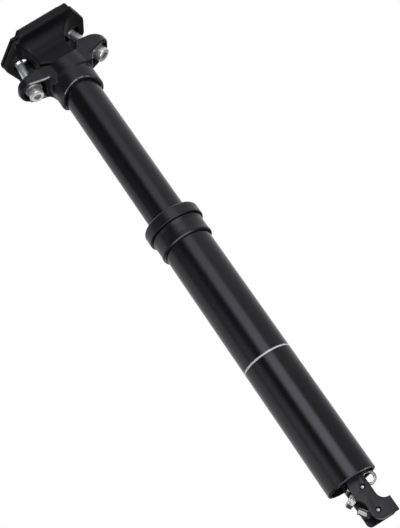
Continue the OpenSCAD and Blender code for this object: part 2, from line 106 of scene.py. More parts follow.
def turned(name, rings, around):
    # a ring of points is extruded from one radius and height to the next, round to its start
    rings = guarded(rings)
    pickOnly(None)
    firstR, firstZ = rings[0]
    bpy.ops.mesh.primitive_circle_add(vertices=around, radius=firstR * mm, location=(0, 0, firstZ * mm))
    obj = bpy.context.object
    obj.name = obj.data.name = name
    bpy.ops.object.transform_apply(location=True, rotation=True, scale=True)
    editing(obj)
    for (oldR, oldZ), (newR, newZ) in zip(rings, rings[1:] + rings[:1]):
        bpy.ops.mesh.extrude_region_move()
        bpy.ops.transform.resize(value=(newR / oldR, newR / oldR, 1), center_override=(0, 0, oldZ * mm))
        bpy.ops.transform.translate(value=(0, 0, (newZ - oldZ) * mm))
    closed(obj)
    return obj


def lathed(name, rings, around=256, angle=25):
    obj = turned(name, rings, around)
    smoothed(obj, angle)
    return obj


def closed(obj, gap=0.00002):
    editing(obj)
    bpy.ops.mesh.remove_doubles(threshold=gap)
    bpy.ops.mesh.delete_loose(use_verts=True, use_edges=True, use_faces=False)
    bpy.ops.mesh.select_all(action="SELECT")
    bpy.ops.mesh.normals_make_consistent(inside=False)
    bpy.ops.object.mode_set(mode="OBJECT")


def stepped(radius, height, steps):
    # points of a turned profile, each a step out and up from one place
    return [(radius + out, height + up) for out, up in steps]


def arc(middleR, middleZ, radius, start, stop, steps):
    # points of a rounded edge in a turned profile
    points = []
    for step in range(steps + 1):
        turn = math.radians(start + (stop - start) * step / steps)
        points.append((middleR + radius * math.cos(turn), middleZ + radius * math.sin(turn)))
    return points


def placed(obj, matrix):
    pickOnly(obj)
    obj.matrix_world = matrix
    bpy.ops.object.transform_apply(location=True, rotation=True, scale=True)


def leaned():
    # from a level head to the leaned one
    lift = Matrix.Translation((0, 0, headLean["height"] * mm))
    return lift @ Matrix.Rotation(-math.radians(headLean["turn"]), 4, "Y")


def doubled(obj, name):
    # a copy with its own mesh
    twin = bpy.data.objects.new(name, obj.data.copy())
    twin.data.name = name
    scene.collection.objects.link(twin)
    return twin


def copied(node, name, gap=0.000002):
    # a CAD mesh is loose triangles, so its copy is merged
    obj = doubled(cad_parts[node], name)
    obj.data.materials.clear()
    editing(obj)
    bpy.ops.mesh.remove_doubles(threshold=gap)
    bpy.ops.object.mode_set(mode="OBJECT")
    return obj


def eased(node, name, width, segments, flat=0.6):
    # the solid again with its edges broken, as a deburred part has them
    obj = copied(node, name)
    editing(obj)
    bpy.ops.mesh.dissolve_limited(angle_limit=math.radians(flat))
    bpy.ops.object.mode_set(mode="OBJECT")
    rounded(obj, width, segments)
    smoothed(obj)
    return obj


def forged(node, name, grid, passes):
    # the solid again with soft forged edges and filled inner corners
    obj = copied(node, name)
    applied(obj, "REMESH", mode="VOXEL", voxel_size=grid * mm)
    applied(obj, "SMOOTH", factor=0.5, iterations=passes)
    pickOnly(obj)
    bpy.ops.object.shade_smooth()
    return obj


def handed(obj, body, slotName, look, *nodes):
    obj.data.materials.clear()
    obj.data.materials.append(look.material)
    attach(obj, body)
    if nodes:
        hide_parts(*nodes)


def makeEased(rows):
    # node, piece, body, slot, finish, edge break and its steps
    for node, name, body, slotName, look, width, segments in rows:
        handed(eased(node, name, width, segments), body, slotName, look, node)


# shader helpers

class Wire:
    # one socket, with plain maths on it

    def __init__(self, nodes, socket):
        self.nodes = nodes
        self.socket = socket

    def maths(self, operation, first, second):
        return self.nodes.add("ShaderNodeMath", {"operation": operation}, {0: first, 1: second})

    def __add__(self, other):
        return self.maths("ADD", self, other)

    def __radd__(self, other):
        return self.maths("ADD", other, self)

    def __sub__(self, other):
        return self.maths("SUBTRACT", self, other)

    def __rsub__(self, other):
        return self.maths("SUBTRACT", other, self)

    def __mul__(self, other):
        return self.maths("MULTIPLY", self, other)

    def __rmul__(self, other):
        return self.maths("MULTIPLY", other, self)

    def __truediv__(self, other):
        return self.maths("DIVIDE", self, other)

    def __rtruediv__(self, other):
        return self.maths("DIVIDE", other, self)

    def __gt__(self, other):
        return self.maths("GREATER_THAN", self, other)

    def __lt__(self, other):
        return self.maths("LESS_THAN", self, other)


class Nodes:
    # a node tree, with one way to add to it

    def __init__(self, tree):
        self.tree = tree

    def add(self, kind, settings=None, sockets=None, out=0):
        node = self.tree.nodes.new(kind)
        for name, value in (settings or {}).items():
            if name == "stops":
                band = node.color_ramp.elements
                while len(band) < len(value):
                    band.new(1.0)
                for element, (place, tone) in zip(band, value):
                    element.position = place
                    element.color = (tone, tone, tone, 1)
            else:
                setattr(node, name, value)
        for name, value in (sockets or {}).items():
            self.feed(node.inputs[name], value)
        return Wire(self, node.outputs[out]) if node.outputs else None

    def feed(self, socket, value):
        if isinstance(value, Wire):
            self.tree.links.new(value.socket, socket)
        else:
            socket.default_value = value


class Look(Nodes):
    # a material and the nodes that feed its shader

    def __init__(self, name, **constants):
        self.material = bpy.data.materials.new(name)
        self.material.use_nodes = True
        super().__init__(self.material.node_tree)
        self.shader = self.tree.nodes["Principled BSDF"]
        for socket, value in constants.items():
            self.shader.inputs[socket.replace("_", " ")].default_value = value
        self.coords = self.add("ShaderNodeTexCoord", {}, {}, "Object")

    def shade(self, name, value):
        self.feed(self.shader.inputs[name], value)

    def part(self, axis):
        return self.add("ShaderNodeSeparateXYZ", {}, {"Vector": self.coords}, axis)

    def leaned(self):
        # along and up the leaned clamp
        x, z = self.part("X"), self.part("Z") - headLean["height"] * mm
        turn = math.radians(headLean["turn"])
        return x * math.cos(turn) + z * math.sin(turn), z * math.cos(turn) - x * math.sin(turn)

    def size(self, value):
        return self.add("ShaderNodeMath", {"operation": "ABSOLUTE"}, {0: value})

    def root(self, value):
        return self.add("ShaderNodeMath", {"operation": "SQRT"}, {0: value})

    def noise(self, size, detail=2, stretch=None):
        # size is the width of one blotch in millimetres
        vector = self.coords
        if stretch:
            vector = self.add("ShaderNodeMapping", {}, {"Vector": vector, "Scale": stretch})
        return self.add("ShaderNodeTexNoise", {}, {"Vector": vector, "Scale": 1 / (size * mm), "Detail": detail}, "Fac")

    def ramp(self, value, low, high):
        return self.steps(value, [(low, 0), (high, 1)])

    def steps(self, value, stops):
        return self.add("ShaderNodeValToRGB", {"stops": stops}, {"Fac": value})

    def blend(self, factor, first, second):
        return self.add("ShaderNodeMix", {"data_type": "RGBA"}, {0: factor, 6: first, 7: second}, 2)

    def mottled(self, cloud, tone, spread=0.12, blue=0.04):
        # one tone that drifts a little darker and lighter
        dark, light = grey(tone * (1 - spread), -blue), grey(tone * (1 + spread), -blue)
        return self.blend(self.ramp(cloud, 0.3, 0.7), dark, light)

    def dulled(self, cloud, tone, dull, blue):
        # bright metal with duller clouds
        return self.blend(self.ramp(cloud, 0.25, 0.75), grey(tone * dull, -blue), grey(tone, -blue))

    def relief(self, height, strength, depth):
        bump = self.add("ShaderNodeBump", {}, {"Height": height, "Strength": strength, "Distance": depth * mm})
        self.shade("Normal", bump)


def grey(value, warm=0.0):
    return (value * (1 + warm), value, value * (1 - warm), 1)


# finishes

coolTint = (0.888, 0.85, 1.0, 1)


def blackLook(name, shine=0.5):
    return Look(name, Specular_IOR_Level=shine, Specular_Tint=coolTint)


def satin(rough, cloud, grain, lower=0.03, drift=0.04):
    # roughness that drifts with the clouds and the grain
    return rough - lower + drift * cloud + drift * grain


def anodised(name, tone, rough, grainSize, grainDepth, blotch=30, shine=0.5):
    look = blackLook(name, shine)
    cloud = look.noise(blotch, 3)
    grain = look.noise(grainSize)
    look.shade("Base Color", look.mottled(cloud, tone))
    look.shade("Roughness", satin(rough, cloud, grain))
    look.relief(grain, 0.25, grainDepth)
    return look


def headLook(name, s):
    # blasted black, with a painted highlight of bare-looking metal broken up along the skirt's lower rim
    look = blackLook(name)
    cloud = look.noise(s["blotch"], 3)
    grain = look.noise(s["grain"])
    side, height = look.part("X"), look.part("Z")
    arch = s["archR"] * mm
    edge = look.root(arch * arch - side * side) + (s["crown"] * mm - arch)
    rim = (height - edge < s["rim"] * mm) * (height < s["below"] * mm)
    paintedRimHighlight = rim * look.ramp(look.noise(s["highlightBlotch"]), 0.3, 0.6)
    black = look.mottled(cloud, s["tone"])
    look.shade("Base Color", look.blend(paintedRimHighlight, black, grey(s["highlightTone"])))
    look.shade("Metallic", paintedRimHighlight * s["metal"])
    look.shade("Roughness", satin(s["rough"], cloud, grain) - s["highlightSmooth"] * paintedRimHighlight)
    look.relief(grain, 0.25, s["grainDepth"])
    return look


def tubeLook(name, s):
    # black tube with a painted ring line, and a painted highlight along its lower rim on the lit right (+X) side
    look = blackLook(name)
    height = look.part("Z")
    cloud = look.noise(s["blotch"], 3)
    grain = look.noise(s["grain"])
    drawn = look.noise(s["drawn"], 2, s["drawnOut"])
    band = (height > s["markLow"] * mm) * (height < s["markHigh"] * mm)
    paint = band * look.ramp(look.noise(s["speck"]), 0.30, 0.42)
    rim = (height < s["rimHigh"] * mm) * look.ramp(look.part("X") / (s["rimSide"] * mm), 0.1, 0.6)
    paintedRimHighlight = rim * look.ramp(look.noise(s["highlightBlotch"]), 0.25, 0.5)
    painted = look.blend(paint, look.mottled(cloud, s["tone"], spread=0.1, blue=0.05), grey(s["paintTone"]))
    look.shade("Base Color", look.blend(paintedRimHighlight, painted, grey(s["highlightTone"])))
    look.shade("Metallic", paintedRimHighlight * s["metal"])
    rough = satin(s["rough"], cloud, drawn, drift=0.03)
    look.shade("Roughness", rough + s["paintRough"] * paint + s["highlightRough"] * paintedRimHighlight)
    look.relief(grain * 0.4 + drawn * 0.6 + paint * 0.5, 0.2, s["grainDepth"])
    return look


def bareMetal(name, tone, rough, scratch=(1, 1, 0.05), blue=0.0, blotch=4, line=0.12):
    look = Look(name, Metallic=1.0)
    cloud = look.noise(blotch, 3)
    lines = look.noise(line, 2, scratch)
    look.shade("Base Color", look.dulled(cloud, tone, dull=0.86, blue=blue))
    look.shade("Roughness", rough - 0.06 + 0.1 * cloud + 0.08 * lines)
    look.relief(lines, 0.18, 0.006)
    return look


def boltLook(name, s, size):
    # zinc plate with a blue patch of thread lock where the bolt enters the clamp
    look = Look(name, Metallic=s["metal"])
    height, side, across = look.part("Z"), look.part("X"), look.part("Y")
    cloud = look.noise(s["blotch"], 3)
    entering = look.ramp((height - s["patchLow"] * mm) / (s["patchRise"] * mm), 0.0, 1.0)
    patch = entering * look.ramp(look.noise(s["patchBlotch"]), 0.35, 0.6) * (side > 0) * s["patchCover"]
    plated = look.blend(patch, look.dulled(cloud, s["tone"], dull=0.85, blue=0.02), s["patchColour"])
    # painted shade inside the hexagon socket, found along the splayed bolt
    along, up = look.leaned()
    out, rise = look.size(along) - size["startU"] * mm, up - size["startW"] * mm
    splay = math.radians(size["splay"])
    inward = rise * math.cos(splay) - out * math.sin(splay)
    beside = out * math.cos(splay) + rise * math.sin(splay)
    within = beside * beside + across * across < (s["shadeR"] * mm) ** 2
    socket = within * (inward > s["shadeFrom"] * mm) * (inward < s["shadeTo"] * mm)
    look.shade("Base Color", look.blend(socket, plated, grey(s["shade"])))
    look.shade("Roughness", s["rough"] - 0.05 + 0.1 * cloud + s["patchRough"] * patch)
    look.relief(look.noise(s["grain"]), 0.15, s["grainDepth"])
    return look


def bracketLook(name, s, pins):
    # satin black with painted shade in the counterbores round the two pins
    look = blackLook(name)
    cloud = look.noise(s["blotch"], 3)
    grain = look.noise(s["grain"])
    side = look.part("X") - pins["x"] * mm
    height = look.part("Z")
    ring = 0.0
    for pinZ in pins["heights"]:
        rise = height - pinZ * mm
        ring = ring + (side * side + rise * rise < (s["ringR"] * mm) ** 2)
    black = look.mottled(cloud, s["tone"], blue=0.05)
    look.shade("Base Color", look.blend(ring, black, grey(s["tone"] * s["ringShade"])))
    look.shade("Roughness", satin(s["rough"], cloud, grain) + s["ringRough"] * ring)
    look.relief(grain, 0.25, s["grainDepth"])
    return look


def rubberLook(name):
    look = Look(name, Specular_IOR_Level=0.3)
    grain = look.noise(0.3, 3)
    look.shade("Base Color", look.blend(grain, grey(0.006), grey(0.013)))
    look.shade("Roughness", 0.6 + 0.15 * grain)
    look.relief(grain, 0.3, 0.01)
    return look


def plasticLook(name, colour):
    look = Look(name)
    grain = look.noise(0.6, 3)
    dull = tuple(c * 0.85 for c in colour[:3]) + (1,)
    look.shade("Base Color", look.blend(grain, dull, colour))
    look.shade("Roughness", 0.42 + 0.12 * grain)
    look.relief(grain, 0.2, 0.01)
    return look


stanchionBlack = anodised("stanchionBlack", 0.009, 0.2, 0.35, 0.004)
clampBlack = anodised("clampBlack", 0.0055, 0.44, 0.28, 0.03, 12, 0.22)
collarBlack = anodised("collarBlack", 0.0105, 0.28, 0.3, 0.008, 15)
groundSteel = bareMetal("groundSteel", 0.62, 0.30)
# bright bare metal for the front wing lips only, as a painted highlight
lipHighlightMetal = bareMetal("lipHighlightMetal", 0.2, 0.3)
satinNickel = bareMetal("satinNickel", 0.42, 0.25, (1, 0.08, 1), -0.02)
machinedAlloy = bareMetal("machinedAlloy", 0.66, 0.33)
machinedBrass = plasticLook("machinedBrass", (0.55, 0.38, 0.13, 1))
sealRubber = rubberLook("sealRubber")
bushPlastic = plasticLook("bushPlastic", (0.42, 0.33, 0.16, 1))
print("finishes made")


# fixed tube, collar ring, seal cap and stanchion, with their edges as steps out and up

tubeFinish = {
    "tone": 0.0108, "rough": 0.19, "blotch": 40, "grain": 0.35, "grainDepth": 0.008, "drawn": 0.5,
    "drawnOut": (1, 1, 0.02), "markLow": 83.65, "markHigh": 84.75, "speck": 0.25, "paintTone": 0.95, "paintRough": 0.2,
    "rimHigh": 0.4, "rimSide": 15, "highlightBlotch": 2.0, "highlightTone": 0.4, "metal": 0.8, "highlightRough": 0.1,
}
tubeSize = {
    "radius": 15.45, "bore": 13.95, "seat": 15.15, "collar": 171.2, "top": 179.2,
    "boreEdge": [(0, 0.3), (0.3, 0)], "rimEdge": [(-0.4, 0), (-0.1, 0.24), (0, 0.6)],
}
collarSize = {
    "radius": 17.2, "waist": 16.85, "seat": 15.17, "inner": 13.7, "low": 171.22, "shelf": 179.22, "high": 184.1,
    "lowEdge": [(-0.9, 0), (-0.35, 0.2), (0, 0.95), (-0.06, 2.0)], "dip": [(0.04, 3.4), (0, 4.2)],
    "climb": [(0, -3.2), (0.05, -2.4)], "highEdge": [(-0.05, -1.1), (0, -0.6), (-0.12, -0.2), (-0.45, 0)],
}
capSize = {
    "radius": 18.6, "inner": 13.4, "low": 184.2, "high": 193.5, "edge": 1.8, "edgeTurn": 76, "edgeSteps": 8,
    "crown": 1.1, "lowEdge": [(-0.55, 0), (-0.15, 0.25), (0, 0.65)], "mouth": [(0.35, -0.05), (0, -0.2)],
}
wiperSize = {
    "inner": 12.55, "outer": 13.3, "low": 186.2, "shelf": 191.0, "lip": 194.4, "around": 192,
    "back": [(-0.05, -0.5), (-0.25, -0.15)], "front": [(0.2, 0), (0, -0.1)],
}
stanchionSize = {"radius": 12.5, "bore": 11.1, "low": 118, "high": 321.98, "lowEdge": [(-0.3, 0), (0, 0.3)]}
tubeBlack = tubeLook("tubeBlack", tubeFinish)


def makeTube():
    s = tubeSize
    rings = stepped(s["bore"], 0, s["boreEdge"]) + stepped(s["radius"], 0, s["rimEdge"])
    rings += [(s["radius"], s["collar"]), (s["seat"], s["collar"]), (s["seat"], s["top"]), (s["bore"], s["top"])]
    handed(lathed("outerTube", rings), "outer", "tube_black", tubeBlack, "outer_tube")


def makeCollar():
    s = collarSize
    rings = [(s["seat"], s["low"])] + stepped(s["radius"], s["low"], s["lowEdge"])
    rings += stepped(s["waist"], s["low"], s["dip"]) + stepped(s["waist"], s["high"], s["climb"])
    rings += stepped(s["radius"], s["high"], s["highEdge"])
    rings += [(s["inner"], s["high"]), (s["inner"], s["shelf"]), (s["seat"], s["shelf"])]
    handed(lathed("collarRing", rings), "outer", "collar_black", collarBlack, "collar_ring")


def makeCap():
    s = capSize
    rings = [(s["inner"], s["low"])] + stepped(s["radius"], s["low"], s["lowEdge"])
    middleZ = s["high"] - s["edge"] - s["crown"]
    rings += arc(s["radius"] - s["edge"], middleZ, s["edge"], 0, s["edgeTurn"], s["edgeSteps"])
    rings += stepped(s["inner"], s["high"], s["mouth"])
    handed(lathed("sealCap", rings), "outer", "collar_black", collarBlack, "seal_cap")


def makeWiper():
    s = wiperSize
    rings = [(s["inner"], s["low"]), (s["outer"], s["low"]), (s["outer"], s["shelf"])]
    rings += stepped(s["outer"], s["lip"], s["back"]) + stepped(s["inner"], s["lip"], s["front"])
    handed(lathed("wiperLip", rings, s["around"]), "outer", "seal_rubber", sealRubber, "wiper_seal")


def makeStanchion():
    s = stanchionSize
    rings = [(s["bore"], s["low"])] + stepped(s["radius"], s["low"], s["lowEdge"])
    rings += [(s["radius"], s["high"]), (s["bore"], s["high"])]
    handed(lathed("stanchionTube", rings), "slider", "stanchion_black", stanchionBlack, "stanchion")


makeTube()
makeCollar()
makeCap()
makeWiper()
makeStanchion()
print("tubes and rings made")


# forged head, saddle clamp, bolts and nuts

headFinish = {
    "tone": 0.0055, "rough": 0.34, "blotch": 12, "grain": 0.28, "grainDepth": 0.03, "archR": 34.7, "crown": 304.1,
    "rim": 0.8, "below": 306, "highlightBlotch": 2.5, "highlightTone": 0.2, "metal": 0.8, "highlightSmooth": 0.08,
}
headSettings = {"grid": 0.42, "passes": 22}
clampSettings = {"grid": 0.42, "passes": 40}
# along, up and across the leaned head, and the share of the radius
lipSize = {
    "radius": 0.95, "around": 24, "crease": 50,
    "path": [(-30.2, -0.1, -8.5, 0.35), (-29.2, -0.65, -8.85, 1), (-28, -0.95, -8.95, 1), (-19, -3.45, -8.95, 1),
             (-16, -4.25, -9.65, 1), (-15, -4.5, -10.0, 0.35)],
}
boltFinish = {
    "tone": 0.97, "rough": 0.3, "metal": 0.6, "blotch": 3, "grain": 0.2, "grainDepth": 0.006, "patchLow": 346,
    "patchRise": 3, "patchBlotch": 1.2, "patchCover": 0.75, "patchRough": 0.25, "patchColour": (0.10, 0.21, 0.30, 1),
    "shade": 0.55, "shadeR": 2.9, "shadeFrom": 0.2, "shadeTo": 4,
}
boltSize = {
    "splay": 12.4, "startU": 27.18, "startW": -6.3, "radius": 3, "headR": 5, "headHigh": 6, "length": 38.52,
    "around": 72, "crease": 40,
    "headEdge": [(-0.75, 0), (-0.3, 0.12), (0, 0.7)], "headBack": [(0, -0.25), (-0.25, 0)],
    "underHead": [(0.35, 0), (0, 0.35)], "socket": 2.86, "socketDeep": 3.3,
    "collar": 15.6, "collarEdge": [(0, 0), (-0.1, 0.1), (-0.22, 0.15), (-0.22, 0.5), (-0.08, 0.6)],
    "plain": 27, "slim": 0.08, "pitch": 1.0, "depth": 0.3, "groove": (0.35, 0.5, 0.8), "startGap": 0.4, "endGap": 0.8,
    "tip": [(0, -0.7), (-0.7, 0)],
}
forgedBlack = headLook("forgedBlack", headFinish)
boltZinc = boltLook("boltZinc", boltFinish, boltSize)


def makeHead():
    head = forged("seat_head", "seatHead", **headSettings)
    handed(head, "slider", "forged_black", forgedBlack, "seat_head")
    clamp = forged("lower_clamp", "lowerClamp", **clampSettings)
    handed(clamp, "clamp", "forged_black", clampBlack, "lower_clamp")
    makeEased([
        ("upper_clamp", "upperClamp", "clamp", "forged_black", clampBlack, 0.4, 3),
        ("front_nut", "frontNut", "front_nut", "steel", groundSteel, 0.25, 2),
        ("rear_nut", "rearNut", "rear_nut", "steel", groundSteel, 0.25, 2),
    ])


def makeLips():
    # rolled lip along the lower edge of each wing wall, shaped once
    s = lipSize
    pickOnly(None)
    oldU, oldW, oldY, oldShare = s["path"][0]
    bpy.ops.mesh.primitive_circle_add(vertices=s["around"], radius=s["radius"] * oldShare * mm, fill_type="NGON",
                                      location=(oldU * mm, oldY * mm, oldW * mm), rotation=(0, math.radians(90), 0))
    first = bpy.context.object
    bpy.ops.object.transform_apply(location=True, rotation=True, scale=True)
    editing(first)
    for newU, newW, newY, newShare in s["path"][1:]:
        grow = newShare / oldShare
        bpy.ops.mesh.extrude_region_move()
        bpy.ops.transform.resize(value=(1, grow, grow), center_override=(oldU * mm, oldY * mm, oldW * mm))
        bpy.ops.transform.translate(value=((newU - oldU) * mm, (newY - oldY) * mm, (newW - oldW) * mm))
        oldU, oldW, oldY, oldShare = newU, newW, newY, newShare
    closed(first)
    # the front lips get the bright metal as a painted highlight; the rear lips stay black
    sides = (("frontNearLip", 1, 1, lipHighlightMetal), ("frontFarLip", 1, -1, lipHighlightMetal),
             ("rearNearLip", -1, 1, forgedBlack), ("rearFarLip", -1, -1, forgedBlack))
    for name, along, across, look in sides:
        lip = doubled(first, name)
        placed(lip, leaned() @ Matrix.Diagonal((along, across, 1, 1)))
        closed(lip)
        smoothed(lip, s["crease"])
        handed(lip, "slider", "forged_black", look)
    bpy.data.objects.remove(first)


def boltRings():
    # from the socket end of the head to the tip, with ring grooves for the thread
    s = boltSize
    crest, length, pitch = s["radius"], s["length"], s["pitch"]
    root = crest - s["depth"]
    rings = [(poleR, 0)] + stepped(s["headR"], 0, s["headEdge"]) + stepped(s["headR"], s["headHigh"], s["headBack"])
    rings += stepped(crest, s["headHigh"], s["underHead"]) + stepped(crest, s["collar"], s["collarEdge"])
    rings += [(crest - s["slim"], s["plain"])]
    down, floor, up = s["groove"]
    place = s["plain"] + s["startGap"]
    while place + pitch < length - s["endGap"]:
        rings += [(root, place + pitch * down), (root, place + pitch * floor)]
        rings += [(crest, place + pitch * up), (crest, place + pitch)]
        place += pitch
    return rings + stepped(crest, length, s["tip"]) + [(poleR, length)]


def makeBolts():
    # one bolt is shaped and gets its socket, then a copy goes to each wing
    s = boltSize
    first = turned("bolt", boltRings(), s["around"])
    pickOnly(None)
    bpy.ops.mesh.primitive_cylinder_add(vertices=6, radius=s["socket"] * mm, depth=2 * s["socketDeep"] * mm)
    cutter = bpy.context.object
    applied(first, "BOOLEAN", object=cutter, operation="DIFFERENCE", solver="EXACT")
    bpy.data.objects.remove(cutter)
    smoothed(first, s["crease"])
    for name, side, nodes in (("frontBolt", -1, ()), ("rearBolt", 1, ("clamp_bolts",))):
        bolt = doubled(first, name)
        start = Matrix.Translation((side * s["startU"] * mm, 0, s["startW"] * mm))
        placed(bolt, leaned() @ start @ Matrix.Rotation(-side * math.radians(s["splay"]), 4, "Y"))
        handed(bolt, "slider", "bolt_zinc", boltZinc, *nodes)
    bpy.data.objects.remove(first)
    makeEased([("bolt_washers", "boltWashers", "slider", "steel", groundSteel, 0.2, 2)])


makeHead()
makeLips()
makeBolts()
print("head, clamp and bolts made")


# release mechanism under the tube

bracketFinish = {
    "tone": 0.013, "rough": 0.38, "blotch": 6, "grain": 0.25, "grainDepth": 0.012, "ringR": 1.65, "ringShade": 0.15,
    "ringRough": 0.5,
}
pinSize = {
    "radius": 1.05, "half": 6.45, "neck": 5.7, "tip": 0.78, "x": 1.65, "heights": (-5.7, -20.5), "around": 64,
    "crease": 40,
    "neckEdge": [(0, -0.2), (-0.1, 0)], "tipStart": 0.05, "tipEdge": [(0, -0.25), (-0.156, -0.08), (-0.468, 0)],
}
barrelSize = {
    "x": -4.8, "z": -16.7, "lean": 36, "radius": 2.05, "low": -4.2, "high": 2.8, "bore": 1.6, "seat": 0.8, "cable": 0.8,
    "around": 96, "crease": 30, "lowEdge": [(-0.25, 0), (0, 0.25)], "highEdge": [(0, -0.25), (-0.25, 0)],
    "groove": [(0, -1.5), (-0.25, -1.45), (-0.25, -0.95), (0, -0.9)], "cableEdge": [(0.4, 0), (0, -0.4)],
}
bracketBlack = bracketLook("bracketBlack", bracketFinish, pinSize)


def makePins():
    s = pinSize
    half = stepped(s["radius"], s["neck"], s["neckEdge"]) + [(s["tip"], s["neck"] + s["tipStart"])]
    half += stepped(s["tip"], s["half"], s["tipEdge"]) + [(poleR, s["half"])]
    first = lathed("pin", [(r, -z) for r, z in reversed(half)] + half, s["around"], s["crease"])
    for height, node, name in zip(s["heights"], ("lever_pin", "barrel_pin"), ("leverPin", "barrelPin")):
        pin = doubled(first, name)
        placed(pin, Matrix.Translation((s["x"] * mm, 0, height * mm)) @ Matrix.Rotation(math.radians(90), 4, "X"))
        handed(pin, "outer", "steel", groundSteel, node)
    bpy.data.objects.remove(first)


def makeBarrel():
    s = barrelSize
    rings = [(s["bore"], s["low"])] + stepped(s["radius"], s["low"], s["lowEdge"])
    rings += stepped(s["radius"], s["high"], s["groove"]) + stepped(s["radius"], s["high"], s["highEdge"])
    rings += stepped(s["cable"], s["high"], s["cableEdge"]) + [(s["cable"], s["seat"]), (s["bore"], s["seat"])]
    barrel = lathed("cableBarrel", rings, s["around"], s["crease"])
    turn = Matrix.Rotation(-math.radians(s["lean"]), 4, "Y")
    placed(barrel, Matrix.Translation((s["x"] * mm, 0, s["z"] * mm)) @ turn)
    handed(barrel, "outer", "nickel", satinNickel, "cable_barrel")


makePins()
makeBarrel()
makeEased([
    ("actuator_bracket", "actuatorBracket", "outer", "bracket_black", bracketBlack, 0.55, 3),
    ("barrel_carrier", "barrelCarrier", "outer", "bracket_black", bracketBlack, 0.15, 2),
    ("release_lever", "releaseLever", "lever", "nickel", satinNickel, 0.25, 3),
    ("cable_anchor", "cableAnchor", "lever", "nickel", satinNickel, 0.25, 3),
    ("anchor_screw", "anchorScrew", "lever", "steel", groundSteel, 0.12, 2),
    ("bottom_plug", "bottomPlug", "outer", "collar_black", collarBlack, 0.2, 2),
    ("rod_nut", "rodNut", "outer", "steel", groundSteel, 0.15, 2),
    ("plug_ring", "plugRing", "outer", "steel", groundSteel, 0.15, 2),
    ("release_pin", "releasePin", "release", "steel", groundSteel, 0.12, 2),
])
print("release mechanism made")


# inner solids keep their shape and get a finish

innerLooks = {
    "upper_bush": bushPlastic, "lower_bush": bushPlastic, "plug_seal": sealRubber, "piston_seal": sealRubber,
    "rod_seal": sealRubber, "floating_seal": sealRubber, "top_bumper": sealRubber, "piston_rod": groundSteel,
    "cylinder_ring": groundSteel, "piston": machinedAlloy, "gas_cylinder": machinedAlloy, "cylinder_cap": machinedAlloy,
    "rod_gland": machinedAlloy, "floating_piston": machinedAlloy, "guide_keys": machinedBrass,
    "valve_poppet": machinedBrass,
}
for nodeName, nodeLook in innerLooks.items():
    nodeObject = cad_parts[nodeName]
    nodeObject.data.materials.clear()
    nodeObject.data.materials.append(nodeLook.material)
print("inner solids finished")


# camera, floor and light

cameraSettings = {
    "place": (-0.19788, -0.60901, -0.10769), "right": (0.848772, -0.046004, -0.526754),
    "up": (0.445199, -0.475302, 0.758871), "lens": 78.87, "sensor": 36.0, "near": 0.01,
}
floorSettings = {"height": -26.3, "size": 8.0, "tone": 0.8, "dull": 0.97, "blotch": 300}
worldSettings = {"shown": 1.0, "light": 0.32, "shownTo": ("Is Camera Ray", "Is Glossy Ray", "Is Transmission Ray")}
lampTarget = Vector((0, 0, 0.18))
boxLights = {
    "keyStrip": {"swing": 20, "away": 1.1, "height": 1.0, "size": (0.32, 1.5), "power": 4.0},
    "leftPanel": {"swing": -115, "away": 1.3, "height": 1.05, "size": (0.9, 1.4), "power": 4.0},
    "topPanel": {"swing": 60, "away": 0.5, "height": 1.5, "size": (1.2, 1.2), "power": 4.0},
}
# brightness round the post, by degrees to the right of the camera, in four bands up the wall
wallSettings = {
    "radius": 1.7, "low": -0.6, "high": 2.6, "around": 180, "full": 8.0, "floorBand": [(-180, 0.1), (180, 0.1)],
    "lowBand": [(-180, 0.75), (-80, 0.75), (-68, 0.45), (-56, 0.8), (-44, 0.8), (-30, 0.2), (-24, 0.0), (-8, 0.0),
                (8, 2.6), (30, 2.6), (44, 0.3), (100, 0.38), (125, 0.6), (145, 0.75), (180, 0.75)],
    "midBand": [(-180, 0.7), (-82, 0.66), (-70, 0.25), (-40, 0.25), (-28, 0.05), (-10, 0.02), (8, 1.45), (32, 1.45),
                (46, 0.52), (100, 0.55), (125, 0.7), (145, 0.8), (180, 0.8)],
    "highBand": [(-180, 0.7), (-90, 0.66), (-72, 0.05), (-12, 0.02), (10, 0.85), (34, 0.85), (48, 0.6), (90, 0.62),
                 (110, 0.75), (125, 0.9), (180, 0.9)],
    "fades": {"lowBand": (0.02, 0.22), "midBand": (0.40, 0.83), "highBand": (0.83, 1.25)},
}
cardAround = 360
groundCards = {
    "darkGround": {"height": -26.2, "inner": 0.001, "outer": 1.7, "from": 100, "to": 285, "glow": 0.10},
    "nearGround": {"height": -26.15, "inner": 0.002, "outer": 0.2, "from": -70, "to": 70, "glow": 1.2},
    "brightGround": {"height": -26.15, "inner": 0.2, "outer": 0.6, "from": -45, "to": 45, "glow": 4.0},
    "rimGround": {"height": -26.15, "inner": 0.02, "outer": 0.2, "from": 70, "to": 100, "glow": 2.5},
    "faceGround": {"height": -26.15, "inner": 0.3, "outer": 0.65, "from": 183, "to": 200, "glow": 1.2},
}
towardsCamera = Vector((cameraSettings["place"][0], cameraSettings["place"][1], 0)).normalized()
towardsRight = Vector((-towardsCamera.y, towardsCamera.x, 0))


def swungTo(swing):
    # level direction from the post, swing degrees to the right of the camera
    turn = math.radians(swing)
    return towardsCamera * math.cos(turn) + towardsRight * math.sin(turn)


def makeCamera():
    s = cameraSettings
    right, up = Vector(s["right"]).normalized(), Vector(s["up"]).normalized()
    camera = bpy.data.cameras.new("photoCamera")
    camera.sensor_fit = "VERTICAL"
    camera.sensor_height = camera.sensor_width = s["sensor"]
    camera.lens = s["lens"]
    camera.clip_start = s["near"]
    obj = bpy.data.objects.new("photoCamera", camera)
    scene.collection.objects.link(obj)
    matrix = Matrix((right, up, right.cross(up))).transposed().to_4x4()
    matrix.translation = Vector(s["place"])
    obj.matrix_world = matrix
    scene.camera = obj


